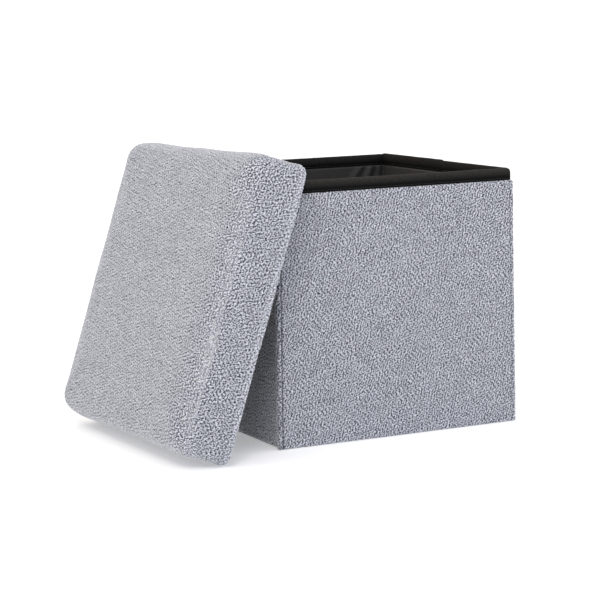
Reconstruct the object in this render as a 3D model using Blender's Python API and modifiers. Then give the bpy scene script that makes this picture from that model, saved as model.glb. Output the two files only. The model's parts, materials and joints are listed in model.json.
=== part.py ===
"""A folding storage ottoman, with its lift-off lid leaning on the left side, as a Blender script.

Frame: the origin is on the floor under the middle of the box, +X runs to the right along the
front, +Y to the back and +Z up. Lengths are in metres.

The box is six stiff wall panels sewn into one cloth cover. The front and the back are whole.
Each side wall is two halves that crease inward, so that the back comes forward to the front.
The lid is a padded top with a hollow underneath and a skirt round it.
"""

import math

import bmesh
import bpy
from mathutils import Matrix, Vector

# Driving dimensions of the box
BOX_W = 0.356  # across the front, over the cloth
BOX_D = 0.356  # front to back, over the cloth
RIM_Z = 0.348  # floor to the top of the rim binding

# Layers of a wall, from the outside in
CLOTH_T = 0.0030  # boucle cover
BOARD_T = 0.0030  # stiffening board
LINING_T = 0.0010  # non-woven lining
FIT = 0.0003  # between pieces that touch

# The binding folded over the top edge of every panel
BINDING_H = 0.016  # how far it comes down each face
BINDING_T = 0.0008
BINDING_INSET = 0.0020  # the pile of the cover stands this far proud of it

# The fold
PANEL_GAP = 0.0005  # between neighbouring panels
HINGE_SETBACK = 0.008  # from a whole wall's inner face to the corner hinge, room for the raised floor
SWEEP_CLEARANCE = 0.0012  # from the flat floor panel up to the walls that fold over it

# The bottom
BASE_CLOTH_T = 0.0015
FLOOR_BOARD_T = 0.0040
FLOOR_COVER_T = 0.0007
FLOOR_SIDE_CLEARANCE = 0.0015  # from the floor panel to the walls
FLOOR_HINGE_CLEARANCE = 0.0008  # from the raised floor panel to the front lining

# The lid
LID_PLAY_ACROSS = 0.0089  # on the closed box, from a side wall to the lid's lining
LID_PLAY_DEEP = 0.0059  # on the closed box, from the front or back wall to the lid's lining
LID_T = 0.081  # skirt edge to crown
LID_EDGE_R = 0.026  # rounding of the padded edges and of the corners
LID_BOARD_T = 0.005
LID_FOAM_T = 0.0225
SKIRT_EDGE = 0.0020  # cloth fold below the skirt boards

# How the lid leans on the left wall
LEAN_DEG = 71.4  # its tilt from the level
TURN_DEG = 2.2  # its front end stands closer to the box than its back end
SKEW_DEG = -0.2  # its turn in its own plane
LID_FORWARD = 0.0448  # how far its middle is in front of the middle of the box
LEAN_CLEARANCE = 0.0016  # from its back skirt to the cloth at the rim

# Rounded edges
CLOTH_BEVEL = 0.0010
BOARD_BEVEL = 0.0003
MERGE = 0.00005

# Worked out from the driving dimensions
BOARD_AT = CLOTH_T + FIT  # depth of the board's outer face
LINING_AT = BOARD_AT + BOARD_T + FIT
WALL_T = LINING_AT + LINING_T
PANEL_TOP = RIM_Z - BINDING_T - FIT
CLOTH_TOP = RIM_Z - BINDING_H - FIT
FLOOR_Z = BASE_CLOTH_T + FIT
FLOOR_TOP = FLOOR_Z + FLOOR_BOARD_T + FIT + FLOOR_COVER_T
SWEPT_Z = FLOOR_TOP + SWEEP_CLEARANCE  # lower edge of every wall that folds
HALF_W, HALF_D = BOX_W / 2, BOX_D / 2
LID_L = BOX_W + 2 * (LID_PLAY_ACROSS + WALL_T)  # up the slope as it leans
LID_W = BOX_D + 2 * (LID_PLAY_DEEP + WALL_T)  # across the slope


def clear_scene():
    for obj in list(bpy.data.objects):
        bpy.data.objects.remove(obj, do_unlink=True)


def new_collection(name):
    collection = bpy.data.collections.new(name)
    bpy.context.scene.collection.children.link(collection)
    return collection


def material(name, colour, roughness):
    mat = bpy.data.materials.new(name)
    mat.use_nodes = True
    shader = mat.node_tree.nodes["Principled BSDF"]
    shader.inputs["Base Color"].default_value = (*colour, 1)
    shader.inputs["Roughness"].default_value = roughness
    shader.inputs["Metallic"].default_value = 0.0
    mat.diffuse_color = (*colour, 1)
    return mat


def finish_object(obj, name, mat, parent, matrix):
    """Names obj, puts it in the part's collection at matrix and ties it to its parent."""
    obj.name = name
    for collection in list(obj.users_collection):
        collection.objects.unlink(obj)
    PART.objects.link(obj)
    obj.data.materials.clear()
    obj.data.materials.append(mat)
    obj.matrix_world = matrix
    if parent is not None:
        obj.parent = parent
        obj.matrix_parent_inverse = parent.matrix_world.inverted()
    return obj


def soften(obj, width, segments=2):
    bevel = obj.modifiers.new("rounded edges", "BEVEL")
    bevel.width = width
    bevel.segments = segments
    bevel.limit_method = "ANGLE"


def slab(name, low, high, mat, parent=None, frame=Matrix(), bevel=BOARD_BEVEL):
    """A rectangular piece between two corners given in frame."""
    low, high = Vector(low), Vector(high)
    bpy.ops.mesh.primitive_cube_add(size=1)
    obj = bpy.context.object
    obj.data.transform(Matrix.Diagonal((*(high - low), 1)))
    finish_object(obj, name, mat, parent, frame @ Matrix.Translation((low + high) / 2))
    soften(obj, bevel)
    return obj


def extrusion(name, outline, length, mat, parent, matrix, bevel=BOARD_BEVEL):
    """A flat outline made length thick, half of it to either side of the outline's plane."""
    curve = bpy.data.curves.new(name, "CURVE")
    curve.dimensions = "2D"
    curve.fill_mode = "BOTH"
    curve.extrude = length / 2
    spline = curve.splines.new("POLY")
    spline.points.add(len(outline) - 1)
    for point, (x, y) in zip(spline.points, outline):
        point.co = (x, y, 0, 1)
    spline.use_cyclic_u = True
    obj = bpy.data.objects.new(name, curve)
    bpy.context.scene.collection.objects.link(obj)
    finish_object(obj, name, mat, parent, matrix)
    weld = obj.modifiers.new("closed caps", "WELD")
    weld.merge_threshold = MERGE
    soften(obj, bevel)
    return obj


def is_upright(edge):
    return abs(edge.verts[0].co.z - edge.verts[1].co.z) > MERGE


def round_edges(mesh, edges, radius):
    bmesh.ops.bevel(mesh, geom=edges, offset=radius, segments=5, profile=0.5, affect="EDGES")


def tray(name, low, high, thickness, corner_r, edge_r, mat, parent, matrix):
    """A shell between two corners of a box, open at its bottom.

    corner_r rounds the edges that run along Z, and edge_r those round the closed top.
    """
    low, high = Vector(low), Vector(high)
    bpy.ops.mesh.primitive_cube_add(size=1)
    obj = bpy.context.object
    obj.data.transform(Matrix.Translation((low + high) / 2) @ Matrix.Diagonal((*(high - low), 1)))
    finish_object(obj, name, mat, parent, matrix)
    mesh = bmesh.new()
    mesh.from_mesh(obj.data)
    bottom = [f for f in mesh.faces if f.normal.z < -0.5]
    bmesh.ops.delete(mesh, geom=bottom, context="FACES")
    upright = [e for e in mesh.edges if is_upright(e)]
    if corner_r == edge_r:
        round_edges(mesh, [e for e in mesh.edges if not e.is_boundary], corner_r)
    else:
        round_edges(mesh, upright, corner_r)
        top = max(v.co.z for v in mesh.verts)
        round_edges(mesh, [e for e in mesh.edges if min(v.co.z for v in e.verts) > top - MERGE], edge_r)
    mesh.to_mesh(obj.data)
    mesh.free()
    shell = obj.modifiers.new("cloth thickness", "SOLIDIFY")
    shell.thickness = thickness
    shell.offset = -1
    return obj


def rounded_block(name, low, high, radius, cut_z, mat, parent, matrix):
    """A solid with its top and upright edges rounded, cut off flat at cut_z."""
    low, high = Vector(low), Vector(high)
    bpy.ops.mesh.primitive_cube_add(size=1)
    obj = bpy.context.object
    obj.data.transform(Matrix.Translation((low + high) / 2) @ Matrix.Diagonal((*(high - low), 1)))
    finish_object(obj, name, mat, parent, matrix)
    mesh = bmesh.new()
    mesh.from_mesh(obj.data)
    raised = [e for e in mesh.edges if max(v.co.z for v in e.verts) > low.z + MERGE]
    round_edges(mesh, raised, radius)
    geometry = [*mesh.verts, *mesh.edges, *mesh.faces]
    cut = bmesh.ops.bisect_plane(
        mesh, geom=geometry, plane_co=(0, 0, cut_z), plane_no=(0, 0, 1), clear_inner=True
    )
    edges = [e for e in cut["geom_cut"] if isinstance(e, bmesh.types.BMEdge)]
    bmesh.ops.holes_fill(mesh, edges=edges)
    mesh.to_mesh(obj.data)
    mesh.free()
    return obj


def joint_empty(name, place, parent=None, rotation=Matrix()):
    empty = bpy.data.objects.new(name, None)
    empty.empty_display_size = 0.02
    PART.objects.link(empty)
    empty.matrix_world = Matrix.Translation(place) @ rotation
    if parent is not None:
        empty.parent = parent
        empty.matrix_parent_inverse = parent.matrix_world.inverted()
    return empty


def wall_frame(quarter_turns):
    """A wall seen from outside: X runs to its right, Y inward from the box's middle line, Z up."""
    return Matrix.Rotation(math.radians(90 * quarter_turns), 4, "Z")


def binding_outline():
    """The binding's section over a wall: X is the depth from the wall's outer face, Y the height."""
    outer, inner = BINDING_INSET, WALL_T
    low, top = RIM_Z - BINDING_H, RIM_Z
    return [
        (outer, low),
        (outer + BINDING_T, low),
        (outer + BINDING_T, top - BINDING_T),
        (inner - BINDING_T, top - BINDING_T),
        (inner - BINDING_T, low),
        (inner, low),
        (inner, top),
        (outer, top),
    ]


def end_wrap_outline(half_length):
    """The cover of a whole wall from above: its ends turn in over the ends of the wall."""
    inside = half_length - CLOTH_T
    return [
        (-half_length, 0),
        (half_length, 0),
        (half_length, WALL_T),
        (inside, WALL_T),
        (inside, CLOTH_T),
        (-inside, CLOTH_T),
        (-inside, WALL_T),
        (-half_length, WALL_T),
    ]


def wall_panel(name, frame, face, span, bottom, parent, wraps_ends=False):
    """Board, cover, lining and binding of one stiff panel.

    face is how far the wall's outer face is from the middle of the box, and span is the panel's
    extent along the wall. Its layers lie at their depths inward from the face.
    """
    left, right = span
    end = CLOTH_T + FIT if wraps_ends else 0.0
    inward = frame @ Matrix.Translation((0, -face, 0))

    slab(
        f"{name}_board",
        (left + end, BOARD_AT, bottom),
        (right - end, BOARD_AT + BOARD_T, PANEL_TOP),
        BOARD,
        parent,
        inward,
    )
    slab(
        f"{name}_lining",
        (left + end, LINING_AT, bottom),
        (right - end, WALL_T, CLOTH_TOP),
        LINING,
        parent,
        inward,
    )
    if wraps_ends:
        middle = inward @ Matrix.Translation((0, 0, (bottom + CLOTH_TOP) / 2))
        outline = end_wrap_outline((right - left) / 2)
        extrusion(f"{name}_cover", outline, CLOTH_TOP - bottom, BOUCLE, parent, middle, CLOTH_BEVEL)
    else:
        low, high = (left, 0, bottom), (right, CLOTH_T, CLOTH_TOP)
        slab(f"{name}_cover", low, high, BOUCLE, parent, inward, CLOTH_BEVEL)

    # The outline's X is the wall's Y, its Y is up, and it is drawn out along the wall.
    section = Matrix(((0, 0, 1, 0), (1, 0, 0, 0), (0, 1, 0, 0), (0, 0, 0, 1)))
    trim = BINDING_INSET if wraps_ends else 0.0
    middle = inward @ Matrix.Translation(((left + right) / 2, 0, 0)) @ section
    length = right - left - 2 * trim
    extrusion(f"{name}_binding", binding_outline(), length, BINDING, parent, middle, BINDING_T / 4)


def hinge_line(name, x, y, parent):
    return joint_empty(name, (x, y, SWEPT_Z), parent)


def build_walls():
    """The front is fixed. From it, the right side folds to the back, and the back carries the left."""
    inner_x, corner_y = HALF_W - WALL_T, HALF_D - WALL_T - HINGE_SETBACK
    side_end = HALF_D - WALL_T - PANEL_GAP
    front_half, back_half = (-side_end, -PANEL_GAP / 2), (PANEL_GAP / 2, side_end)

    wall_panel("front", wall_frame(0), HALF_D, (-HALF_W, HALF_W), 0.0, None, wraps_ends=True)

    hinge = hinge_line("right_front_hinge", inner_x, -corner_y, None)
    wall_panel("right_front", wall_frame(1), HALF_W, front_half, SWEPT_Z, hinge)
    hinge = hinge_line("right_back_hinge", HALF_W, 0, hinge)
    wall_panel("right_back", wall_frame(1), HALF_W, back_half, SWEPT_Z, hinge)
    back_hinge = hinge_line("back_hinge", inner_x, corner_y, hinge)
    wall_panel("back", wall_frame(2), HALF_D, (-HALF_W, HALF_W), SWEPT_Z, back_hinge, wraps_ends=True)

    # A left wall's frame runs from the back to the front, so its back half comes first.
    hinge = hinge_line("left_back_hinge", -inner_x, corner_y, back_hinge)
    wall_panel("left_back", wall_frame(3), HALF_W, front_half, SWEPT_Z, hinge)
    hinge = hinge_line("left_front_hinge", -inner_x, -corner_y, None)
    wall_panel("left_front", wall_frame(3), HALF_W, back_half, SWEPT_Z, hinge)


def build_base():
    """The cloth bottom with its soft hems under the walls that fold, and the floor panel."""
    hem_top = SWEPT_Z - FIT
    side = HALF_D - WALL_T - FIT
    slab("base_hem_back", (-HALF_W, side + FIT, 0), (HALF_W, HALF_D, hem_top), BOUCLE, bevel=CLOTH_BEVEL)
    for name, direction in (("right", 1), ("left", -1)):
        edges = sorted((direction * HALF_W, direction * (HALF_W - WALL_T)))
        low, high = (edges[0], -side, 0), (edges[1], side, hem_top)
        slab(f"base_hem_{name}", low, high, BOUCLE, bevel=CLOTH_BEVEL)
    across = HALF_W - WALL_T - FIT
    slab("base_cloth", (-across, -side, 0), (across, side, BASE_CLOTH_T), LINING)

    # The floor panel turns up about the top of its front edge.
    front = -HALF_D + WALL_T + FLOOR_HINGE_CLEARANCE
    back = HALF_D - WALL_T - FLOOR_SIDE_CLEARANCE
    across = HALF_W - WALL_T - FLOOR_SIDE_CLEARANCE
    hinge = joint_empty("floor_panel_hinge", (0, front, FLOOR_TOP))
    board_top = FLOOR_Z + FLOOR_BOARD_T
    slab("floor_board", (-across, front, FLOOR_Z), (across, back, board_top), BOARD, hinge)
    low, high = (-across, front, board_top + FIT), (across, back, FLOOR_TOP)
    slab("floor_board_cover", low, high, LINING, hinge, bevel=FLOOR_COVER_T / 4)


def lid_pose():
    """Where the lid stands: local X runs up its slope, Y along its width and Z out of its pad."""
    turn = (
        Matrix.Rotation(math.radians(TURN_DEG), 3, "Z")
        @ Matrix.Rotation(math.radians(-LEAN_DEG), 3, "Y")
        @ Matrix.Rotation(math.radians(-SKEW_DEG), 3, "Z")
    )
    slope, width, outward = turn.col
    # Its lowest point is on the rounded corner at the open edge of its skirt.
    reach = (LID_L / 2 - LID_EDGE_R) * abs(slope.z) + (LID_W / 2 - LID_EDGE_R) * abs(width.z)
    reach += LID_EDGE_R * math.hypot(slope.z, width.z)
    centre = Vector((0, -LID_FORWARD, reach + LID_T / 2 * abs(outward.z)))
    # The inner side of its back skirt crosses the height of the rim just outside the left wall.
    skirt = centre - outward * LID_T / 2 + width * (LID_W / 2 - WALL_T)
    at_rim = skirt + slope * (RIM_Z - skirt.z) / slope.z
    centre.x = -HALF_W - LEAN_CLEARANCE - at_rim.x
    return Matrix.Translation(centre) @ turn.to_4x4()


def build_lid():
    pose = lid_pose()
    lid = joint_empty("lid_frame", pose.translation, rotation=pose.to_3x3().to_4x4())
    half_l, half_w, half_t = LID_L / 2, LID_W / 2, LID_T / 2
    foam_top = half_t - CLOTH_T - FIT
    board_top = foam_top - LID_FOAM_T - FIT
    hollow_top = board_top - LID_BOARD_T - FIT
    inside = CLOTH_T + FIT  # from the outer face to whatever the cover holds

    low, high = (-half_l, -half_w, -half_t), (half_l, half_w, half_t)
    tray("lid_cover", low, high, CLOTH_T, LID_EDGE_R, LID_EDGE_R, BOUCLE, lid, pose)

    # The foam fills the rounded cap down to its own underside.
    straight_top = half_t - LID_EDGE_R
    inner_r = LID_EDGE_R - inside
    foam_low = foam_top - LID_FOAM_T
    low = (-half_l + inside, -half_w + inside, min(foam_low, straight_top) - FIT)
    high = (half_l - inside, half_w - inside, foam_top)
    rounded_block("lid_foam_pad", low, high, inner_r, foam_low, FOAM, lid, pose)

    # The board's square corners stay inside the rounded ones, and under the rounding of the pad.
    rounding = inner_r - math.sqrt(inner_r**2 - max(0.0, board_top - straight_top) ** 2)
    inset = inside + LID_EDGE_R * (1 - math.sqrt(0.5)) + rounding
    low = (-half_l + inset, -half_w + inset, board_top - LID_BOARD_T)
    high = (half_l - inset, half_w - inset, board_top)
    slab("lid_board", low, high, BOARD, lid, pose)

    skirt_low, skirt_high = -half_t + SKIRT_EDGE, min(hollow_top, straight_top)
    ends = {"upper": (0, 1), "lower": (0, -1), "back": (1, 1), "front": (1, -1)}
    for name, (axis, direction) in ends.items():
        half, along = (half_l, half_w) if axis == 0 else (half_w, half_l)
        outer, inner = direction * (half - BOARD_AT), direction * (half - BOARD_AT - BOARD_T)
        low, high = Vector((0, 0, skirt_low)), Vector((0, 0, skirt_high))
        low[axis], high[axis] = sorted((outer, inner))
        low[1 - axis], high[1 - axis] = -along + LID_EDGE_R, along - LID_EDGE_R
        slab(f"lid_skirt_board_{name}", low, high, BOARD, lid, pose)

    low = (-half_l + LINING_AT, -half_w + LINING_AT, skirt_low)
    high = (half_l - LINING_AT, half_w - LINING_AT, hollow_top)
    tray("lid_lining", low, high, LINING_T, LID_EDGE_R - LINING_AT, LINING_T * 3, LINING, lid, pose)


clear_scene()
PART = new_collection("storage_ottoman")
BOUCLE = material("boucle", (0.47, 0.48, 0.52), 0.95)
LINING = material("nonwoven_lining", (0.022, 0.022, 0.024), 0.85)
BINDING = material("rim_binding", (0.015, 0.015, 0.017), 0.70)
BOARD = material("board", (0.42, 0.33, 0.22), 0.80)
FOAM = material("foam", (0.80, 0.78, 0.70), 0.90)
build_walls()
build_base()
build_lid()
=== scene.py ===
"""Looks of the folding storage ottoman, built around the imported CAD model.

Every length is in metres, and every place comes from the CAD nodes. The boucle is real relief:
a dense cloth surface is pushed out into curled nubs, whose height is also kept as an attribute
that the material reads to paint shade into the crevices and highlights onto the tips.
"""

import itertools
import json
import math

import bmesh
import bpy
import numpy as np
from mathutils import Matrix, Vector


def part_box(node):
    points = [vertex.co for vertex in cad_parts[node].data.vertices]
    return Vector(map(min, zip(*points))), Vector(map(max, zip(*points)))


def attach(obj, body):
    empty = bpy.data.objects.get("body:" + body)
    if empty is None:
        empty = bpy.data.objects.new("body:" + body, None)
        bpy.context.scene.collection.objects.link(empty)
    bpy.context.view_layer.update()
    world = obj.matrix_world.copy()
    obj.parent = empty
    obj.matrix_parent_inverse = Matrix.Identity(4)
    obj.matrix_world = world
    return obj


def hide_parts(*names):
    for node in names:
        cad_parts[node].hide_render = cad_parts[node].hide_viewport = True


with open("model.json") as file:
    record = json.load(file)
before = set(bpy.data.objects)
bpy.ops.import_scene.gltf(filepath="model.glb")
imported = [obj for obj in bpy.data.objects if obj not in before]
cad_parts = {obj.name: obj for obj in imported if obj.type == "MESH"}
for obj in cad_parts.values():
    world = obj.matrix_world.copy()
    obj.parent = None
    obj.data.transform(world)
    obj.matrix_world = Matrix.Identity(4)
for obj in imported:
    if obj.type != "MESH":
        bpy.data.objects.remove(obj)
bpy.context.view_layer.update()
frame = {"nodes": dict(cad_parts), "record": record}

# Boucle
CLOTH_STEP = 0.0009  # spacing of the relief's points
CURL_LENGTHS = (0.0021, 0.0058)  # from one curl of the pile to the next
PILE_WAVES = 150
PILE_WARP = 0.0008  # how far the slow warp moves the curls
PILE_WARP_SCALE = 0.006
PILE_SPREAD = 2.5  # the waves' sum is divided by this before it is cut to 0 to 1
PILE_FULLNESS = 1.5  # above 1, the curls are full and the gaps between them narrow
GRAIN_SCALE = 0.0013
NUB_GRAIN = 0.22  # finer unevenness of the nubs, as a share of their height
NUB_HEIGHT = 0.0022
NUB_SINK = 0.0012  # how far the cloth under the nubs lies inside the CAD face
PILE_DEPTH = 0.0032  # from the CAD face to the back of the cloth
EDGE_ROUND = 0.0012  # rounding where the cloth turns under at its edges
CORNER_ROUND = 0.0030  # rounding of the box's upright corners
SEAM_AT = 0.0055  # from an upright corner to its seam
FAR_SEAM = 0.3  # how much of the left corner's seam the right one shows
GROOVE_WIDTH, GROOVE_DEPTH = 0.0010, 0.0011  # of a corner seam
RIDGE_WIDTH, RIDGE_HEIGHT = 0.0019, 0.0010
RIDGE_FROM_SEAM = 0.0030
WALL_WAVE = 0.0005  # slight unevenness of the cloth on its board
FOLD_SINK = 0.0024  # as NUB_SINK, on the halves that fold flat on each other
FLARE = (0.0035, 0.0010)  # how far the upright corners stand out at the foot and under the binding

# Rim binding
BINDING_STEP = 0.0012
BINDING_EDGE = 0.0008  # rounding of its folded edge
TAPE_THICKNESS = 0.0008
TAPE_WAVE, TAPE_WAVE_SCALE = 0.00022, 0.016  # slight unevenness of the tape
RIM_ROUND = 0.0045  # rounding of the rim's outer corners
PANEL_ROUND = 0.0008  # rounding of the binding's ends at a crease
STITCH_PITCH = 0.0034
STITCH_LENGTH = 0.0024
STITCH_THICKNESS = 0.00045
STITCH_FROM_EDGE = 0.0022
STITCH_PRESS, STITCH_PRESS_WIDTH = 0.00030, 0.0009  # how far the stitches pull the tape in
PUCKER, PUCKER_WIDTH = 0.00012, 0.0016  # the tape's ripple between stitches

CREASE_STEP = 0.0012  # the rim's step at the middle of the right wall

# Lining
LINING_STEP = 0.003
LINING_SLACK = 0.0006
FRONT_SLACK = 0.3  # share of it on the front wall, which the floor panel comes close to
SHEET_EDGE = 0.02  # the slack grows from nothing over this distance from a sheet's edge
PLEATS = ((0.010, 0.10, 0.0045), (0.023, 0.45, 0.0055), (0.040, 0.80, 0.0040))  # start, lean, depth
PLEAT_WIDTH, PLEAT_LENGTH = 0.0050, 0.16

# Lid
LID_COARSE = 0.0072  # spacing of the cage that the cloth simulation moves
LID_LEVELS = 3  # subdivisions after it
HEM_ROLL = 0.0040  # radius of the cloth fold round the skirt's open edge
HEM_SEAM_AT = 0.0105  # from the open edge to the seam above it
HEM_RISE = 0.0014  # the cloth is double below that seam
PUFF_LIMIT = 0.002  # the simulation may not move the pad further than this
PUFF_FRAMES = 20
LID_ROUND = 0.026  # rounding of the padded edges and corners, as in the CAD cover
LID_LINING_ROUND = 0.0184
LID_OPEN_ROUND = 0.017  # the upright edges sharpen to this at the open edge
LID_WAVE = 0.0008  # slight unevenness of the pad

# Light: linear colours of the white studio, and the power of its one lamp in watts
COOL_SIDE = (0.0, -1.0, -0.9)
COOL_SKY = (0.78, 0.89, 1.18)
WARM_SKY = (1.10, 1.05, 1.00)
KEY_POWER = 28.0
KEY_PLACE, KEY_AIM, KEY_SIZE = (-1.6, -2.2, 2.2), (-0.1, 0, 0.2), 1.2
KEY_COLOUR = (1.0, 0.96, 0.88)
FLOOR_GLOW = 0.28  # lifts the floor to white round the soft shadows

# Camera, fitted to the photograph
CAMERA_PLACE = Vector((-1.3210, -2.5159, 0.5706))
CAMERA_YAW, CAMERA_PITCH, CAMERA_ROLL = 26.66, 8.18, -1.16
LENS_MM = 122.8
SENSOR_MM = 36.0


# ---------------------------------------------------------------- repeatable noise


def cell_random(cells, seed):
    """A repeatable number from 0 to 1 for each integer cell in an (n, 3) array."""
    x = cells.astype(np.int64).view(np.uint64)
    mixed = x[:, 0] * np.uint64(0x9E3779B97F4A7C15)
    mixed ^= x[:, 1] * np.uint64(0xC2B2AE3D27D4EB4F)
    mixed ^= x[:, 2] * np.uint64(0x165667B19E3779F9)
    mixed ^= np.uint64(seed) * np.uint64(0xD6E8FEB86659FD93)
    mixed ^= mixed >> np.uint64(33)
    mixed *= np.uint64(0xFF51AFD7ED558CCD)
    mixed ^= mixed >> np.uint64(33)
    mixed *= np.uint64(0xC4CEB9FE1A85EC53)
    mixed ^= mixed >> np.uint64(33)
    return (mixed >> np.uint64(11)).astype(np.float64) / 2.0**53


def value_noise(points, scale, seed):
    """Smooth noise from -1 to 1 that changes over about scale."""
    scaled = points / scale
    low = np.floor(scaled)
    part = scaled - low
    part = part * part * (3 - 2 * part)
    total = np.zeros(len(points))
    for corner in itertools.product((0, 1), repeat=3):
        weight = np.prod(np.where(corner, part, 1 - part), axis=1)
        total += weight * cell_random(low + corner, seed)
    return 2 * total - 1


def boucle_relief(points, normals, seed):
    """Height from 0 to 1 of the pile at each point: small curls with gaps between them, painted dark as
    shade.

    Waves in every direction, over a band of lengths, add up to curls that never repeat. Waves that
    run into the cloth count less, since they would show as broad patches, and a slow warp of the
    points keeps the curls from lining up.
    """
    random = np.random.default_rng(seed)
    directions = random.normal(size=(PILE_WAVES, 3))
    directions /= np.linalg.norm(directions, axis=1, keepdims=True)
    pitches = 1 / random.uniform(1 / CURL_LENGTHS[1], 1 / CURL_LENGTHS[0], PILE_WAVES)
    phases = random.uniform(0, 2 * math.pi, PILE_WAVES)
    warp = [value_noise(points, PILE_WARP_SCALE, seed + k) for k in range(3)]
    warped = points + PILE_WARP * np.stack(warp, axis=1)
    total = np.zeros(len(points))
    power = np.full(len(points), 1e-6)
    for direction, pitch, phase in zip(directions, pitches, phases):
        weight = (1 - (normals @ direction) ** 2) ** 2
        total += weight * np.cos(warped @ direction * (2 * math.pi / pitch) + phase)
        power += weight**2
    grain = NUB_GRAIN * value_noise(points, GRAIN_SCALE, seed + 5)
    level = np.clip(0.5 + total * np.sqrt(2 / power) / PILE_SPREAD + grain, 0, 1)
    return 1 - (1 - level) ** PILE_FULLNESS


# ---------------------------------------------------------------- meshes


def new_object(name, mesh, material):
    mesh.materials.append(material)
    mesh.shade_smooth()
    obj = bpy.data.objects.new(name, mesh)
    bpy.context.scene.collection.objects.link(obj)
    return obj


def mesh_from_arrays(name, points, quads, uvs=None):
    """A mesh of quads, with uvs given for each corner of each quad."""
    mesh = bpy.data.meshes.new(name)
    mesh.vertices.add(len(points))
    mesh.vertices.foreach_set("co", np.ascontiguousarray(points, np.float32).ravel())
    mesh.loops.add(len(quads) * 4)
    mesh.loops.foreach_set("vertex_index", np.ascontiguousarray(quads, np.int32).ravel())
    mesh.polygons.add(len(quads))
    mesh.polygons.foreach_set("loop_start", np.arange(len(quads), dtype=np.int32) * 4)
    if uvs is not None:
        layer = mesh.uv_layers.new(name="OFBake")
        layer.data.foreach_set("uv", np.ascontiguousarray(uvs, np.float32).ravel())
    mesh.update(calc_edges=True)
    mesh.validate()
    return mesh


def fit_uv(u, v):
    """The two lengths scaled together into the unit square, with a margin."""
    span = max(u.max() - u.min(), v.max() - v.min())
    return 0.005 + 0.99 * (u - u.min()) / span, 0.005 + 0.99 * (v - v.min()) / span


def loop_strip(name, grid, values, material):
    """A closed body from a (rows, columns, 3) grid, whose columns go round its section.

    Its ends are capped. values is a number for each point, kept as the attribute "nub".
    """
    rows, columns = grid.shape[:2]
    index = np.arange(rows * columns).reshape(rows, columns)
    right = np.roll(index, -1, axis=1)
    quads = np.stack([index[:-1], index[1:], right[1:], right[:-1]], axis=2).reshape(-1, 4)
    step_u = np.linalg.norm(np.diff(grid, axis=0), axis=2).mean(axis=1)
    step_v = np.linalg.norm(np.roll(grid, -1, axis=1) - grid, axis=2).mean(axis=0)
    u = np.concatenate([[0], np.cumsum(step_u)])
    v = np.concatenate([[0], np.cumsum(step_v)])
    u, v = fit_uv(*np.meshgrid(u, v, indexing="ij"))
    uv = np.stack([u, v], axis=2)
    uvs = np.stack([uv[:-1, :-1], uv[1:, :-1], uv[1:, 1:], uv[:-1, 1:]], axis=2).reshape(-1, 4, 2)
    mesh = mesh_from_arrays(name, grid.reshape(-1, 3), quads, uvs)
    add_field(mesh, "nub", values)
    shape = bmesh.new()
    shape.from_mesh(mesh)
    shape.verts.ensure_lookup_table()
    for ring in (index[0], index[-1][::-1]):
        shape.faces.new([shape.verts[i] for i in ring])
    if shape.calc_volume(signed=True) < 0:
        bmesh.ops.reverse_faces(shape, faces=shape.faces)
    shape.to_mesh(mesh)
    shape.free()
    return new_object(name, mesh, material)


def arc(centre, radius, start, end, count):
    """Points on an arc in a plane, angles in degrees."""
    angles = np.radians(np.linspace(start, end, count))
    return [(centre[0] + radius * math.cos(a), centre[1] + radius * math.sin(a)) for a in angles]


def spaced_line(start, end, step):
    """Evenly spaced points from start up to but without end."""
    start, end = np.array(start, float), np.array(end, float)
    count = max(1, round(np.linalg.norm(end - start) / step))
    return [tuple(start + (end - start) * k / count) for k in range(count)]


# ---------------------------------------------------------------- places in the CAD model


def quarter_turned(points, turns):
    """Points turned about the upright axis by quarter turns, as the walls are."""
    c, s = ((1, 0), (0, 1), (-1, 0), (0, -1))[turns % 4]
    turn = np.array([[c, -s, 0], [s, c, 0], [0, 0, 1]], float)
    return np.asarray(points, float) @ turn.T


def wall_box(node, turns):
    """A node's lowest and highest corners in its wall's frame, where X runs along the wall, Y inward."""
    corners = quarter_turned(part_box(node), -turns)
    return corners.min(axis=0), corners.max(axis=0)


def leaning_axes(node):
    """The lid's axes, read from its flat board: up its slope, along its width, out of its pad."""
    mesh = frame["nodes"][node].data
    normals = np.empty(len(mesh.polygons) * 3)
    areas = np.empty(len(mesh.polygons))
    mesh.polygons.foreach_get("normal", normals)
    mesh.polygons.foreach_get("area", areas)
    normals = normals.reshape(-1, 3)
    outward = normals[np.argmax(areas * (normals[:, 0] < 0))]
    upright = np.abs(normals @ outward) < 0.01
    slope = normals[np.argmax(areas * upright * (normals[:, 2] > 0.7))]
    outward = outward / np.linalg.norm(outward)
    slope = slope - outward * (slope @ outward)
    slope = slope / np.linalg.norm(slope)
    return np.stack([slope, np.cross(outward, slope), outward], axis=1)


def leaning_box(node, axes):
    """A node's lowest and highest corners along the lid's axes."""
    mesh = frame["nodes"][node].data
    points = np.empty(len(mesh.vertices) * 3)
    mesh.vertices.foreach_get("co", points)
    local = points.reshape(-1, 3) @ axes
    return local.min(axis=0), local.max(axis=0)


# ---------------------------------------------------------------- materials


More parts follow.
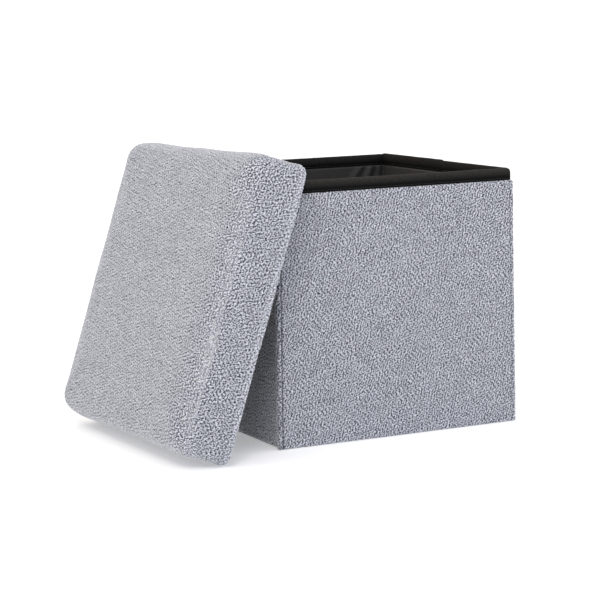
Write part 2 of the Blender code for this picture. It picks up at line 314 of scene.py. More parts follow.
class Shader:
    """A material's nodes, added one after another."""

    def __init__(self, name, roughness, **constants):
        self.material = bpy.data.materials.new(name)
        self.material.use_nodes = True
        self.tree = self.material.node_tree
        self.surface = self.tree.nodes["Principled BSDF"]
        self.surface.inputs["Roughness"].default_value = roughness
        for socket, value in constants.items():
            self.surface.inputs[socket.replace("_", " ")].default_value = value

    def node(self, kind, **settings):
        node = self.tree.nodes.new(kind)
        for name, value in settings.items():
            setattr(node, name, value)
        return node

    def link(self, source, target):
        self.tree.links.new(source, target)

    def coordinates(self):
        return self.node("ShaderNodeTexCoord").outputs["Object"]

    def noise(self, scale, detail=3.0, roughness=0.55):
        node = self.node("ShaderNodeTexNoise")
        node.inputs["Scale"].default_value = scale
        node.inputs["Detail"].default_value = detail
        node.inputs["Roughness"].default_value = roughness
        self.link(self.coordinates(), node.inputs["Vector"])
        return node.outputs["Fac"]

    def attribute(self, name):
        return self.node("ShaderNodeAttribute", attribute_name=name).outputs["Fac"]

    def ramp(self, value, stops):
        node = self.node("ShaderNodeValToRGB")
        elements = node.color_ramp.elements
        while len(elements) < len(stops):
            elements.new(0.5)
        for element, (place, colour) in zip(elements, stops):
            element.position = place
            element.color = (*colour, 1)
        self.link(value, node.inputs["Fac"])
        return node.outputs["Color"]

    def mix(self, factor, first, second, blend="MIX"):
        node = self.node("ShaderNodeMix", data_type="RGBA", blend_type=blend)
        for socket, value in ((0, factor), (6, first), (7, second)):
            if hasattr(value, "links"):
                self.link(value, node.inputs[socket])
            elif socket == 0:
                node.inputs[socket].default_value = value
            else:
                node.inputs[socket].default_value = (*value, 1)
        return node.outputs[2]

    def colour(self, value):
        self.link(value, self.surface.inputs["Base Color"])

    def roughness(self, value, low, high):
        node = self.node("ShaderNodeMapRange")
        node.inputs["To Min"].default_value = low
        node.inputs["To Max"].default_value = high
        self.link(value, node.inputs["Value"])
        self.link(node.outputs["Result"], self.surface.inputs["Roughness"])

    def bump(self, height, strength, distance):
        node = self.node("ShaderNodeBump")
        node.inputs["Strength"].default_value = strength
        node.inputs["Distance"].default_value = distance
        self.link(height, node.inputs["Height"])
        self.link(node.outputs["Normal"], self.surface.inputs["Normal"])


def boucle_material():
    """Light grey curled yarn with fine fibres, with painted shade between the nubs and painted highlights
    on their tips.
    """
    shader = Shader("boucle", 0.95, Specular_IOR_Level=0.25, Sheen_Weight=0.15, Sheen_Roughness=0.5)
    # The ramp over the pile's height paints shade into the crevices and highlights onto the tips.
    stops = (
        (0.00, (0.034, 0.035, 0.045)),
        (0.25, (0.135, 0.139, 0.158)),
        (0.50, (0.350, 0.356, 0.380)),
        (0.75, (0.590, 0.599, 0.624)),
        (1.00, (0.830, 0.842, 0.865)),
    )
    yarn_colour_and_painted_shade = shader.ramp(shader.attribute("nub"), stops)
    patches = shader.ramp(shader.noise(45.0), ((0.3, (0.93, 0.93, 0.94)), (0.7, (1.0, 1.0, 1.0))))
    fibres = shader.ramp(shader.noise(650.0, 3.0), ((0.3, (0.50, 0.50, 0.51)), (0.7, (1.06, 1.06, 1.06))))
    tinted = shader.mix(1.0, yarn_colour_and_painted_shade, patches, "MULTIPLY")
    shader.colour(shader.mix(1.0, tinted, fibres, "MULTIPLY"))
    shader.bump(shader.noise(1500.0, 3.0, 0.7), 0.55, 0.0005)
    return shader.material


def binding_material():
    """Black woven tape, darker towards its lower edge where it is sewn down, with a painted highlight along
    its top fold.
    """
    shader = Shader("rim_binding", 0.85, Specular_IOR_Level=0.1)
    grain = shader.noise(900.0, 3.0)
    weave = shader.ramp(grain, ((0.3, (0.0060, 0.0056, 0.0050)), (0.75, (0.0190, 0.0178, 0.0162))))
    height = shader.attribute("nub")
    # Painted highlight along the top fold, and darker towards the lower edge.
    painted_fold_highlight_and_darker_foot = shader.ramp(height, ((0.30, (0.2, 0.2, 0.2)), (0.50, (1.0, 1.0, 1.0)), (0.98, (2.6, 2.6, 2.5))))
    shader.colour(shader.mix(1.0, weave, painted_fold_highlight_and_darker_foot, "MULTIPLY"))
    shader.roughness(grain, 0.7, 0.9)
    shader.bump(shader.noise(1400.0, 2.0), 0.6, 0.0004)
    return shader.material


def lining_material():
    """Black spun-bonded cloth with its grid of small pressed dots."""
    shader = Shader("nonwoven_lining", 0.6, Specular_IOR_Level=0.3, Sheen_Weight=0.1, Sheen_Roughness=0.4)
    dots = shader.node("ShaderNodeTexVoronoi", feature="F1")
    dots.inputs["Scale"].default_value = 650.0
    dots.inputs["Randomness"].default_value = 0.25
    shader.link(shader.coordinates(), dots.inputs["Vector"])
    pressed = dots.outputs["Distance"]
    shader.colour(shader.ramp(pressed, ((0.1, (0.012, 0.0108, 0.0095)), (0.6, (0.037, 0.0335, 0.030)))))
    shader.roughness(shader.noise(300.0), 0.45, 0.75)
    shader.bump(pressed, 0.5, 0.0004)
    return shader.material


def thread_material():
    shader = Shader("black_thread", 0.55, Specular_IOR_Level=0.45)
    twist = shader.noise(2500.0)
    shader.colour(shader.ramp(twist, ((0.3, (0.018, 0.018, 0.019)), (0.7, (0.05, 0.05, 0.052)))))
    return shader.material


def board_material():
    """Brown fibreboard with short flecks."""
    shader = Shader("board", 0.85, Specular_IOR_Level=0.3)
    flecks = shader.noise(700.0, 4.0, 0.7)
    shader.colour(shader.ramp(flecks, ((0.3, (0.20, 0.13, 0.075)), (0.7, (0.36, 0.25, 0.15)))))
    shader.bump(flecks, 0.3, 0.0003)
    return shader.material


def foam_material():
    """Pale foam with open cells."""
    shader = Shader("foam", 0.9)
    cells = shader.node("ShaderNodeTexVoronoi", feature="F1")
    cells.inputs["Scale"].default_value = 900.0
    shader.link(shader.coordinates(), cells.inputs["Vector"])
    pores = cells.outputs["Distance"]
    # The pores are painted darker, as shade inside the open cells.
    shader.colour(shader.ramp(pores, ((0.05, (0.45, 0.43, 0.36)), (0.4, (0.78, 0.76, 0.68)))))
    shader.bump(pores, 0.6, 0.0005)
    return shader.material


BOUCLE, BINDING, LINING = boucle_material(), binding_material(), lining_material()
THREAD, BOARD, FOAM = thread_material(), board_material(), foam_material()


# ---------------------------------------------------------------- the box


def rounding_sink(distance, radius):
    """How far a surface falls away where it rounds over, at each distance from its edge."""
    inside = np.clip(radius - distance, 0, radius)
    return radius - np.sqrt(radius**2 - inside**2)


def plan_path(low, high, wraps_ends, step):
    """The outer face of a wall from above, with its ends turned in over the wall if wraps_ends."""
    (left, front, _), (right, back, _) = low, high
    if not wraps_ends:
        return np.array(spaced_line((left, front), (right, front), step) + [(right, front)])
    r = CORNER_ROUND
    turns = math.ceil(r * math.pi / 2 / step)
    path = spaced_line((left, back), (left, front + r), step)
    path += arc((left + r, front + r), r, 180, 270, turns)[:-1]
    path += spaced_line((left + r, front), (right - r, front), step)
    path += arc((right - r, front + r), r, 270, 360, turns)[:-1]
    path += spaced_line((right, front + r), (right, back), step) + [(right, back)]
    return np.array(path)


def path_lengths(path):
    return np.concatenate([[0], np.cumsum(np.linalg.norm(np.diff(path, axis=0), axis=1))])


def corner_seams(path, lengths, low, high):
    """A groove where each upright corner is sewn, and a slight ridge between it and the corner."""
    groove = np.zeros(len(path))
    ridge = np.zeros(len(path))
    for edge, side, depth in ((low[0], 1, 1.0), (high[0], -1, FAR_SEAM)):
        seam = edge + side * SEAM_AT
        at = lengths[np.argmin(np.hypot(path[:, 0] - seam, path[:, 1] - low[1]))]
        groove += depth * np.exp(-(((lengths - at) / GROOVE_WIDTH) ** 2))
        from_ridge = lengths - at + side * RIDGE_FROM_SEAM
        ridge += depth * np.exp(-((from_ridge / RIDGE_WIDTH) ** 2))
    return groove, ridge


def relief_wall(name, node, turns, body, sunk, wraps_ends=False, open_edges=(True, True)):
    """The boucle on one panel or hem: a closed body whose outer face carries the nubs.

    sunk is how far its cloth lies inside the CAD face. Its ends turn in over the wall if
    wraps_ends, and its lower and upper edges round over where open_edges says so. Pieces of one
    side share a seed, so the pile runs on from one to the next.
    """
    seed = 100 * turns
    low, high = wall_box(node, turns)
    path = plan_path(low, high, wraps_ends, CLOTH_STEP)
    lengths = path_lengths(path)
    tangent = np.gradient(path, axis=0)
    tangent /= np.linalg.norm(tangent, axis=1, keepdims=True)
    outward = np.stack([tangent[:, 1], -tangent[:, 0]], axis=1)

    rise = np.array(spaced_line((low[2],), (high[2],), CLOTH_STEP) + [(high[2],)])[:, 0]
    rows, columns = len(path), len(rise)
    from_end = np.minimum(lengths, lengths[-1] - lengths)
    from_low = rise - low[2] if open_edges[0] else np.ones(columns)
    from_high = high[2] - rise if open_edges[1] else np.ones(columns)
    from_edge = np.minimum(from_low, from_high)
    sink = rounding_sink(from_edge, EDGE_ROUND)[None, :] + rounding_sink(from_end, EDGE_ROUND)[:, None]

    share = (rise - low[2]) / (high[2] - low[2])
    flare = FLARE[0] + (FLARE[1] - FLARE[0]) * share if wraps_ends else np.zeros(columns)

    def place(depth, heights, flares):
        plan = path[:, None, :] + outward[:, None, :] * depth[:, :, None]
        plan[..., 0] *= 1 + flares / high[0]
        height = np.broadcast_to(heights[None, :, None], (*depth.shape, 1))
        return np.concatenate([plan, height], axis=2)

    flat = place(np.zeros((rows, columns)), rise, flare).reshape(-1, 3)
    facing = np.zeros((rows, columns, 3))
    facing[..., :2] = outward[:, None, :]
    relief = boucle_relief(flat, facing.reshape(-1, 3), seed).reshape(rows, columns)
    wave = value_noise(flat, 0.05, seed + 31).reshape(rows, columns) * WALL_WAVE
    if sunk > NUB_SINK:
        wave *= 0.3
    depth = wave - sunk - np.minimum(sink, PILE_DEPTH - sunk - 0.0002)
    if wraps_ends:
        groove, ridge = corner_seams(path, lengths, low, high)
        # Lowering the pile in the groove also paints it darker there, as shade in the seam.
        relief *= (1 - 0.75 * groove)[:, None]
        depth += (RIDGE_HEIGHT * ridge - GROOVE_DEPTH * groove)[:, None]
    depth += relief * NUB_HEIGHT * np.clip(from_edge / 0.002, 0.25, 1)[None, :]

    ends = [-1, 0]
    back = place(np.full((rows, 2), -PILE_DEPTH), rise[ends], flare[ends])
    grid = quarter_turned(np.concatenate([place(depth, rise, flare), back], axis=1), turns)
    values = np.concatenate([relief, np.zeros((rows, 2))], axis=1)
    piece = loop_strip(name, grid, values.ravel(), BOUCLE)
    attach(piece, body)
    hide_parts(node)


def section_strip(name, turns, span, section, shift_of, material):
    """A closed strip swept along a wall: section is (depth from the face line, height) all round it.

    shift_of gives how far each point moves from its place. Its share of the section's height is
    kept as the attribute that the material reads.
    """
    left, right = span
    count = max(2, math.ceil((right - left) / BINDING_STEP))
    along = np.linspace(left, right, count + 1)
    section = np.array(section)
    rows, columns = len(along), len(section)
    x = np.broadcast_to(along[:, None], (rows, columns))
    y = np.broadcast_to(section[None, :, 0], (rows, columns))
    z = np.broadcast_to(section[None, :, 1], (rows, columns))
    grid = np.stack([x, y, z], axis=2) + shift_of(x, y, z)
    shade = (z - section[:, 1].min()) / np.ptp(section[:, 1])
    return loop_strip(name, quarter_turned(grid, turns), shade, material)


def binding_section(low, high):
    """The binding's section: up from its outer lower edge, over the rim, down inside, and back."""
    (_, outer, bottom), (_, inner, top) = low, high
    e = BINDING_EDGE
    section = spaced_line((outer, bottom), (outer, top - e), BINDING_STEP)
    section += arc((outer + e, top - e), -e, 0, -90, 4)
    section += arc((inner - e, top - e), e, 90, 0, 4)
    section += spaced_line((inner, top - 1.5 * e), (inner, bottom), BINDING_STEP)
    section += [(inner, bottom)]
    t = TAPE_THICKNESS
    section += [(inner - t, bottom), (inner - t, top - t), (outer + t, top - t), (outer + t, bottom)]
    return section


def rim_binding(panel, turns, body, end_round, lift=0.0):
    """The folded tape on one panel's rim, pressed in along its two stitch lines.

    end_round rounds its upper ends, and lift raises its rim while its lower edge stays.
    """
    low, high = wall_box(f"{panel}_binding", turns)
    high[2] += lift
    middle = (low[1] + high[1]) / 2
    seam = low[2] + STITCH_FROM_EDGE

    def relief(x, y, z):
        points = np.stack([x, y, z], axis=2).reshape(-1, 3)
        wave = value_noise(points, TAPE_WAVE_SCALE, 71).reshape(x.shape) * TAPE_WAVE
        pressed = STITCH_PRESS * np.exp(-(((z - seam) / STITCH_PRESS_WIDTH) ** 2))
        ripple = PUCKER * np.cos(2 * math.pi * x / STITCH_PITCH)
        pucker = ripple * np.exp(-(((z - seam) / PUCKER_WIDTH) ** 2))
        side = np.where(y < middle, 1.0, -1.0)
        change = np.zeros((*x.shape, 3))
        change[..., 1] = side * (pressed + pucker + np.maximum(wave, 0))
        change[..., 2] = np.where(z > high[2] - 0.002, -np.abs(wave), 0)
        from_end = np.minimum(x - low[0], high[0] - x)
        share = np.clip((z - low[2]) / (high[2] - low[2]), 0, 1)
        change[..., 2] -= rounding_sink(from_end, end_round) * share**3
        return change

    span = (low[0], high[0])
    section = binding_section(low, high)
    piece = section_strip(f"{panel}_rim_tape", turns, span, section, relief, BINDING)
    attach(piece, body)
    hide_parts(f"{panel}_binding")
    places = np.arange(low[0] + STITCH_PITCH, high[0] - STITCH_PITCH, STITCH_PITCH)
    stitch_row(f"{panel}_rim_stitches", turns, body, places, (low[1], high[1]), seam)


def stitch_row(name, turns, body, places, faces, height):
    """Short thread stitches on both faces of the binding, joined as one piece."""
    sides, half, r = 6, STITCH_LENGTH / 2, STITCH_THICKNESS / 2
    profile = [(-half, 0.25 * r), (-0.6 * half, 0.9 * r), (0.6 * half, 0.9 * r), (half, 0.25 * r)]
    angles = np.arange(sides) * 2 * math.pi / sides
    ring = np.array([[x, rr * math.cos(a), rr * math.sin(a)] for x, rr in profile for a in angles])
    quads = []
    for k in range(len(profile) - 1):
        for s in range(sides):
            t = (s + 1) % sides
            quads.append((k * sides + s, (k + 1) * sides + s, (k + 1) * sides + t, k * sides + t))
    points, faces_all = [], []
    for face in faces:
        for x in places:
            faces_all.append(np.array(quads) + len(points) * len(ring))
            points.append(ring + [x, face, height])
    mesh = mesh_from_arrays(name, quarter_turned(np.concatenate(points), turns), np.concatenate(faces_all))
    shape = bmesh.new()
    shape.from_mesh(mesh)
    bmesh.ops.holes_fill(shape, edges=[e for e in shape.edges if e.is_boundary])
    bmesh.ops.recalc_face_normals(shape, faces=shape.faces)
    shape.to_mesh(mesh)
    shape.free()
    piece = new_object(name, mesh, THREAD)
    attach(piece, body)


def sheet_points(start, end):
    return np.linspace(start, end, math.ceil((end - start) / LINING_STEP) + 1)


def wall_lining(panel, turns, body, pleats=None):
    """The black cloth inside one panel, slightly slack, with pleats where the photo shows them."""
    low, high = wall_box(f"{panel}_lining", turns)
    x = sheet_points(low[0], high[0])
    z = sheet_points(low[2], high[2])
    grid_x, grid_z = np.meshgrid(x, z, indexing="ij")
    points = np.stack([grid_x, np.full(grid_x.shape, low[1]), grid_z], axis=2)
    flat = points.reshape(-1, 3)
    edge = np.minimum.reduce([grid_x - low[0], high[0] - grid_x, grid_z - low[2], high[2] - grid_z])
    free = np.clip(edge / SHEET_EDGE, 0, 1)
    slack = value_noise(flat, 0.045, 5 + turns).reshape(grid_x.shape) * 0.5
    slack += value_noise(flat, 0.016, 9 + turns).reshape(grid_x.shape) * 0.2
    inward = (FRONT_SLACK if panel == "front" else 1.0) * LINING_SLACK * free * (slack + 0.5)
    if pleats is not None:
        inward = inward + pleats(grid_x, grid_z, low, high)
    points[..., 1] = high[1] - 0.0002 + inward
    rear = np.full(len(x), low[1])
    back = [np.column_stack([x, rear, np.full(len(x), height)]) for height in (z[-1], z[0])]
    grid = np.concatenate([points, np.stack(back, axis=1)], axis=1)
    piece = loop_strip(
        f"{panel}_inner_cloth", quarter_turned(grid, turns), np.ones(grid.shape[0] * grid.shape[1]), LINING
    )
    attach(piece, body)
    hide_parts(f"{panel}_lining")


def corner_pleats(x, z, low, high):
    """Three pleats that fan down and out from the back right corner, under the binding."""
    from_corner, below = x - low[0], high[2] - z
    total = np.zeros(x.shape)
    for start, lean, depth in PLEATS:
        across = from_corner - start - lean * below
        total += depth * np.exp(-((across / PLEAT_WIDTH) ** 2)) * np.clip(1 - below / PLEAT_LENGTH, 0, 1)
    return total * np.clip(from_corner / 0.004, 0, 1)


def floor_sheet(name, node, body, grow):
    """A flat black cloth with a slight unevenness, over or under a board."""
    low, high = (np.array(c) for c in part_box(node))
    x = sheet_points(low[0], high[0])
    y = sheet_points(low[1], high[1])
    grid_x, grid_y = np.meshgrid(x, y, indexing="ij")
    flat = np.stack([grid_x, grid_y, np.zeros(grid_x.shape)], axis=2)
    edge = np.minimum.reduce([grid_x - low[0], high[0] - grid_x, grid_y - low[1], high[1] - grid_y])
    wave = 0.5 + 0.5 * value_noise(flat.reshape(-1, 3), 0.05, 23).reshape(grid_x.shape)
    swell = grow * wave * np.clip(edge / SHEET_EDGE, 0, 1)
    flat[..., 2] = high[2] - rounding_sink(edge, (high[2] - low[2]) / 2) + swell
    under = [np.column_stack([x, np.full(len(x), side), np.full(len(x), low[2])]) for side in (y[-1], y[0])]
    grid = np.concatenate([flat, np.stack(under, axis=1)], axis=1)
    piece = loop_strip(name, grid, np.ones(grid.shape[0] * grid.shape[1]), LINING)
    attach(piece, body)
    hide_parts(node)


PANELS = {
    "front": (0, "root", True),
    "right_front": (1, "right_front", False),
    "right_back": (1, "right_back", False),
    "back": (2, "back", True),
    "left_back": (3, "left_back", False),
    "left_front": (3, "left_front", False),
}


def cover_board_edges(node, turns):
    """Fibreboard, with the lining's cloth turned over its upright edges."""
    mesh = frame["nodes"][node].data
    mesh.materials[0] = BOARD
    mesh.materials.append(LINING)
    along = quarter_turned([[1.0, 0.0, 0.0]], turns)[0]
    for face in mesh.polygons:
        if abs(along @ np.array(face.normal)) > 0.9:
            face.material_index = 1


def dress_box():
    for panel, (turns, body, wraps) in PANELS.items():
        sunk = NUB_SINK if wraps else FOLD_SINK
        has_hem = panel != "front"
        relief_wall(f"{panel}_boucle", f"{panel}_cover", turns, body, sunk, wraps, (not has_hem, True))
        end_round = RIM_ROUND if wraps else PANEL_ROUND
        lift = CREASE_STEP if panel == "right_back" else 0.0
        rim_binding(panel, turns, body, end_round, lift)
        wall_lining(panel, turns, body, corner_pleats if panel == "back" else None)
        cover_board_edges(f"{panel}_board", turns)
    for side, turns in (("right", 1), ("back", 2), ("left", 3)):
        sunk = NUB_SINK if side == "back" else FOLD_SINK
        relief_wall(f"{side}_hem", f"base_hem_{side}", turns, "root", sunk, open_edges=(True, False))
    floor_sheet("bottom_cloth", "base_cloth", "root", 0.0)
    floor_sheet("floor_panel_cloth", "floor_board_cover", "floor_panel", 0.0002)
    frame["nodes"]["floor_board"].data.materials[0] = BOARD


# ---------------------------------------------------------------- the lid


def cap_cage(half, radius, open_radius, step, hem=()):
    """The cage of a rounded cap, open at its bottom, as points, quads, uvs and each point's row.

    half holds half its sizes. Its top edges are rounded by radius, and so are its upright edges,
    which sharpen to open_radius at the open edge. hem lists (inset, height) of further rows below
    the cap's own, where inset runs inward from its outer face.
    """
    counts = [max(2, round(2 * h / step)) for h in half]
    nx, ny, nz = counts
    i, j = np.meshgrid(np.arange(nx + 1), np.arange(ny + 1), indexing="ij")
    top = np.stack([i, j, np.full(i.shape, nz)], axis=2).reshape(-1, 3)
    top_index = np.arange(len(top)).reshape(nx + 1, ny + 1)

    ring = [(k, 0) for k in range(nx)] + [(nx, k) for k in range(ny)]
    ring += [(k, ny) for k in range(nx, 0, -1)] + [(0, k) for k in range(ny, 0, -1)]
    ring = np.array(ring)
    rows = nz + len(hem)
    sides = np.concatenate(
        [np.column_stack([ring, np.full(len(ring), nz - row)]) for row in range(1, rows + 1)]
    )
    lattice = np.concatenate([top, sides]).astype(float)

    size = np.array(half, float)
    depth_row = np.maximum(lattice[:, 2], 0)
    flat = lattice.copy()
    flat[:, 2] = depth_row
    points = flat / counts * 2 * size - size
    shoulder = size[2] - radius
    down = np.clip((shoulder - points[:, 2]) / (shoulder + size[2]), 0, 1)
    reach = (radius + (open_radius - radius) * down)[:, None]
    core = np.clip(points, -(size - reach), size - reach)
    core[:, 2] = np.minimum(points[:, 2], shoulder)
    away = points - core
    away /= np.maximum(np.linalg.norm(away, axis=1, keepdims=True), 1e-9)
    points = core + reach * away
    for number, (inset, height) in enumerate(hem, start=1):
        chosen = lattice[:, 2] == -number
        points[chosen] = core[chosen] + (open_radius - inset) * away[chosen]
        points[chosen, 2] = height

    strip = np.empty((rows + 1, len(ring)), int)
    strip[0] = top_index[ring[:, 0], ring[:, 1]]
    strip[1:] = len(top) + np.arange(rows * len(ring)).reshape(rows, len(ring))
    after = np.roll(strip, -1, axis=1)
    side_quads = np.stack([strip[:-1], strip[1:], after[1:], after[:-1]], axis=2).reshape(-1, 4)
    top_quads = np.stack(
        [top_index[:-1, :-1], top_index[1:, :-1], top_index[1:, 1:], top_index[:-1, 1:]], axis=2
    ).reshape(-1, 4)

    # The uvs are the cap unfolded like a box's net, each side hanging from its edge of the top.
    down = np.cumsum(np.full(nz, 2 * half[2] / nz))
    along_hem = 2 * half[2] + 0.004 * np.arange(1, len(hem) + 1)
    length = np.concatenate([[0], down, along_hem])
    place = ring / [nx, ny] * 2 * size[:2] - size[:2]
    following = np.roll(place, -1, axis=0)
    outward = np.zeros((len(ring), 2))
    outward[:nx, 1], outward[nx : nx + ny, 0] = -1, 1
    outward[nx + ny : 2 * nx + ny, 1], outward[2 * nx + ny :, 0] = 1, -1
    side_uv = np.stack(
        [
            place[None] + outward[None] * length[:-1, None, None],
            place[None] + outward[None] * length[1:, None, None],
            following[None] + outward[None] * length[1:, None, None],
            following[None] + outward[None] * length[:-1, None, None],
        ],
        axis=2,
    ).reshape(-1, 4, 2)
    top_uv = (top / [nx, ny, 1] * 2 * size - size)[top_quads][..., :2]
    uv = np.concatenate([top_uv, side_uv]).reshape(-1, 2)
    u, v = fit_uv(uv[:, 0], uv[:, 1])
    quads = np.concatenate([top_quads, side_quads])
    return points, quads, np.stack([u, v], axis=1), lattice[:, 2]


def inflate(obj, held):
    """Blows the cloth outward from the points that held marks, with Blender's cloth simulation."""
    rest = vertex_array(obj.data)
    group = obj.vertex_groups.new(name="held")
    group.add([int(k) for k in np.flatnonzero(held)], 1.0, "REPLACE")
    cloth = obj.modifiers.new("inflate", "CLOTH")
    cloth.settings.vertex_group_mass = "held"
    cloth.settings.quality = 6
    cloth.settings.tension_stiffness = cloth.settings.compression_stiffness = 25
    cloth.settings.bending_stiffness = 2.0
    cloth.settings.use_pressure = True
    cloth.settings.uniform_pressure_force = 4.0
    cloth.settings.effector_weights.gravity = 0.0
    for number in range(1, PUFF_FRAMES + 1):
        bpy.context.scene.frame_set(number)
    settled = obj.evaluated_get(bpy.context.evaluated_depsgraph_get()).to_mesh()
    moved = vertex_array(settled) - rest
    obj.evaluated_get(bpy.context.evaluated_depsgraph_get()).to_mesh_clear()
    obj.modifiers.remove(cloth)
    bpy.context.scene.frame_set(1)
    reach = np.linalg.norm(moved, axis=1, keepdims=True)
    print(f"inflated by up to {reach.max() * 1000:.1f} mm")
    return rest + moved * np.minimum(1, PUFF_LIMIT / np.maximum(reach, 1e-9))


def vertex_array(mesh):
    values = np.empty(len(mesh.vertices) * 3, np.float32)
    mesh.vertices.foreach_get("co", values)
    return values.reshape(-1, 3).astype(float)


def normal_array(mesh):
    values = np.empty(len(mesh.vertices) * 3, np.float32)
    mesh.vertex_normals.foreach_get("vector", values)
    return values.reshape(-1, 3).astype(float)


def add_field(mesh, name, values):
    field = mesh.attributes.get(name) or mesh.attributes.new(name, "FLOAT", "POINT")
    field.data.foreach_set("value", np.ascontiguousarray(values, np.float32).ravel())


def field_array(mesh, name):
    values = np.empty(len(mesh.vertices), np.float32)
    mesh.attributes[name].data.foreach_get("value", values)
    return values.astype(float)


def subdivided(obj, levels):
    """The object's mesh after smooth subdivision, as a new mesh."""
    smooth = obj.modifiers.new("smooth", "SUBSURF")
    smooth.levels = smooth.render_levels = levels
    graph = bpy.context.evaluated_depsgraph_get()
    shape = obj.evaluated_get(graph)
    mesh = bpy.data.meshes.new_from_object(shape, preserve_all_data_layers=True, depsgraph=graph)
    old = obj.data
    obj.modifiers.clear()
    obj.data = mesh
    bpy.data.meshes.remove(old)
    return mesh


def place_points(obj, points, axes):
    """Sets the mesh's points, given along the lid's axes, in the frame."""
    obj.data.vertices.foreach_set("co", np.ascontiguousarray(points @ axes.T, np.float32).ravel())
    obj.data.update()


def hem_rows(half_t):
    """The rows of the cloth that go round the skirt's open edge and up inside it."""
    r, low = HEM_ROLL, -half_t
    rows = [(x, z) for x, z in arc((r, low + r), -r, 0, 180, 6)[1:]]
    return rows + [(2 * r, low + r + 0.004), (2 * r, low + r + 0.011)]


def lid_boucle(axes):
    """The padded cap: inflated over its foam, subdivided, and given the relief of the nubs."""
    low, high = leaning_box("lid_cover", axes)
    centre, half = (low + high) / 2, (high - low) / 2
    half_cage = half - [0, 0, HEM_ROLL / 2]
    turn_in = hem_rows(half[2])
    points, quads, uvs, row = cap_cage(half_cage, LID_ROUND, LID_OPEN_ROUND, LID_COARSE, turn_in)
    points[row >= 0, 2] += HEM_ROLL / 2
    mesh = mesh_from_arrays("lid_boucle", points, quads, uvs)
    add_field(mesh, "inside", np.clip((-row - 3) / 3, 0, 1))
    obj = new_object("lid_boucle", mesh, BOUCLE)

    straight_top = half[2] - LID_ROUND
    held = points[:, 2] < straight_top - 0.004
    points = inflate(obj, held)
    obj.data.vertices.foreach_set("co", np.ascontiguousarray(points, np.float32).ravel())
    obj.data.update()
    mesh = subdivided(obj, LID_LEVELS)

    base, normal = vertex_array(mesh), normal_array(mesh)
    inside = field_array(mesh, "inside")
    relief = boucle_relief(base, normal, 4000)
    above_edge = base[:, 2] + half[2]
    outer = (inside < 0.3) & (above_edge < 2 * HEM_SEAM_AT)
    groove = np.exp(-(((above_edge - HEM_SEAM_AT) / 0.0010) ** 2)) * outer
    hem = np.clip(1 - (above_edge - HEM_SEAM_AT) / 0.002, 0, 1) * outer
    # A lower pile is painted darker: shade in the seam groove, and deep shade on the cloth turned up inside
    # the skirt.
    relief *= (1 - 0.3 * groove) * (1 - 0.2 * hem) * (1 - 0.8 * inside)
    wave = value_noise(base, 0.06, 77) * LID_WAVE
    lift = wave - NUB_SINK + relief * NUB_HEIGHT - 0.0006 * groove + HEM_RISE * hem
    # The hem's band is painted lighter, with less of the painted crevice shade.
    add_field(mesh, "nub", np.clip(relief + 0.20 * hem, 0, 1))
    place_points(obj, base + normal * lift[:, None] + centre, axes)
    obj.data.shade_smooth()
    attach(obj, "lid")
    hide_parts("lid_cover")


def lid_inner_cloth(axes):
    """The black lining of the lid's hollow, a little slack over its boards."""
    low, high = leaning_box("lid_lining", axes)
    centre, half = (low + high) / 2, (high - low) / 2
    points, quads, uvs, _ = cap_cage(half, LID_LINING_ROUND, LID_OPEN_ROUND / 2, LINING_STEP)
    mesh = mesh_from_arrays("lid_inner_cloth", points, quads, uvs)
    mesh.flip_normals()
    obj = new_object("lid_inner_cloth", mesh, LINING)
    normal = normal_array(mesh)
    slack = 0.6 + 0.4 * value_noise(points, 0.05, 51) + 0.15 * value_noise(points, 0.018, 52)
    lift = LINING_SLACK * 1.5 * slack * np.clip((points[:, 2] + half[2]) / 0.02, 0, 1)
    place_points(obj, points + normal * (lift + 0.0010)[:, None] + centre, axes)
    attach(obj, "lid")
    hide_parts("lid_lining")


def dress_lid():
    axes = leaning_axes("lid_board")
    lid_boucle(axes)
    lid_inner_cloth(axes)
    frame["nodes"]["lid_foam_pad"].data.materials[0] = FOAM
    for node in frame["record"]["behaviour"]["bodies"]["lid"]:
        if "board" in node:
            frame["nodes"][node].data.materials[0] = BOARD


# ---------------------------------------------------------------- surroundings


def area_light(name, place, aim, size, power, colour):
    light = bpy.data.lights.new(name, "AREA")
    light.shape = "DISK"
    light.size = size
    light.energy = power
    light.color = colour
    obj = bpy.data.objects.new(name, light)
    obj.location = place
    obj.rotation_euler = (Vector(aim) - Vector(place)).to_track_quat("-Z", "Y").to_euler()
    bpy.context.scene.collection.objects.link(obj)


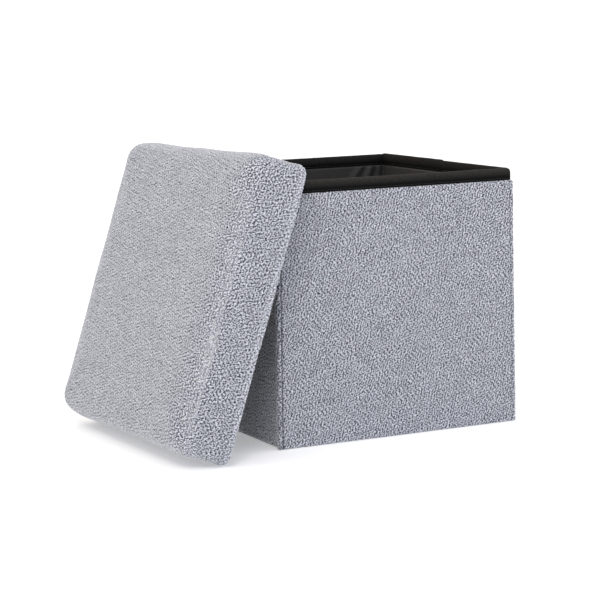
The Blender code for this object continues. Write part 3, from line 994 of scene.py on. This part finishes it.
def light_scene():
    """A white studio: cool light from the front and below, warmer from behind and above, and one lamp."""
    world = bpy.data.worlds.new("studio")
    world.use_nodes = True
    bpy.context.scene.world = world
    tree = world.node_tree
    direction = tree.nodes.new("ShaderNodeTexCoord").outputs["Generated"]
    toward = tree.nodes.new("ShaderNodeVectorMath")
    toward.operation = "DOT_PRODUCT"
    tree.links.new(direction, toward.inputs[0])
    toward.inputs[1].default_value = COOL_SIDE
    blend = tree.nodes.new("ShaderNodeMapRange")
    blend.inputs["From Min"].default_value, blend.inputs["From Max"].default_value = 0.7, -0.7
    tree.links.new(toward.outputs["Value"], blend.inputs["Value"])
    colours = tree.nodes.new("ShaderNodeMix")
    colours.data_type = "RGBA"
    colours.inputs[6].default_value = (*COOL_SKY, 1)
    colours.inputs[7].default_value = (*WARM_SKY, 1)
    tree.links.new(blend.outputs["Result"], colours.inputs[0])
    tree.links.new(colours.outputs[2], tree.nodes["Background"].inputs["Color"])
    area_light("key", KEY_PLACE, KEY_AIM, KEY_SIZE, KEY_POWER, KEY_COLOUR)

    bpy.ops.mesh.primitive_plane_add(size=60, location=(0, 0, -0.0004))
    floor = bpy.context.object
    floor.name = "studio_floor"
    shader = Shader("studio_floor", 0.9, Specular_IOR_Level=0.1)
    shader.colour(shader.ramp(shader.noise(2.0), ((0.3, (0.89, 0.89, 0.89)), (0.7, (0.91, 0.91, 0.91)))))
    shader.surface.inputs["Emission Color"].default_value = (1, 1, 1, 1)
    shader.surface.inputs["Emission Strength"].default_value = FLOOR_GLOW
    floor.data.materials.append(shader.material)


def place_camera():
    yaw, pitch, roll = (math.radians(a) for a in (CAMERA_YAW, CAMERA_PITCH, CAMERA_ROLL))
    forward = Vector((math.sin(yaw) * math.cos(pitch), math.cos(yaw) * math.cos(pitch), -math.sin(pitch)))
    level = Vector((math.cos(yaw), -math.sin(yaw), 0))
    above = level.cross(forward)
    right = math.cos(roll) * level + math.sin(roll) * above
    up = math.cos(roll) * above - math.sin(roll) * level
    camera = bpy.data.objects.new("camera", bpy.data.cameras.new("camera"))
    camera.data.lens = LENS_MM
    camera.data.sensor_width = SENSOR_MM
    camera.data.clip_end = 100
    turn = Matrix((right, up, -forward)).transposed().to_4x4()
    camera.matrix_world = Matrix.Translation(CAMERA_PLACE) @ turn
    bpy.context.scene.collection.objects.link(camera)
    bpy.context.scene.camera = camera


bpy.context.scene.view_settings.view_transform = "Standard"
place_camera()
light_scene()
dress_box()
dress_lid()
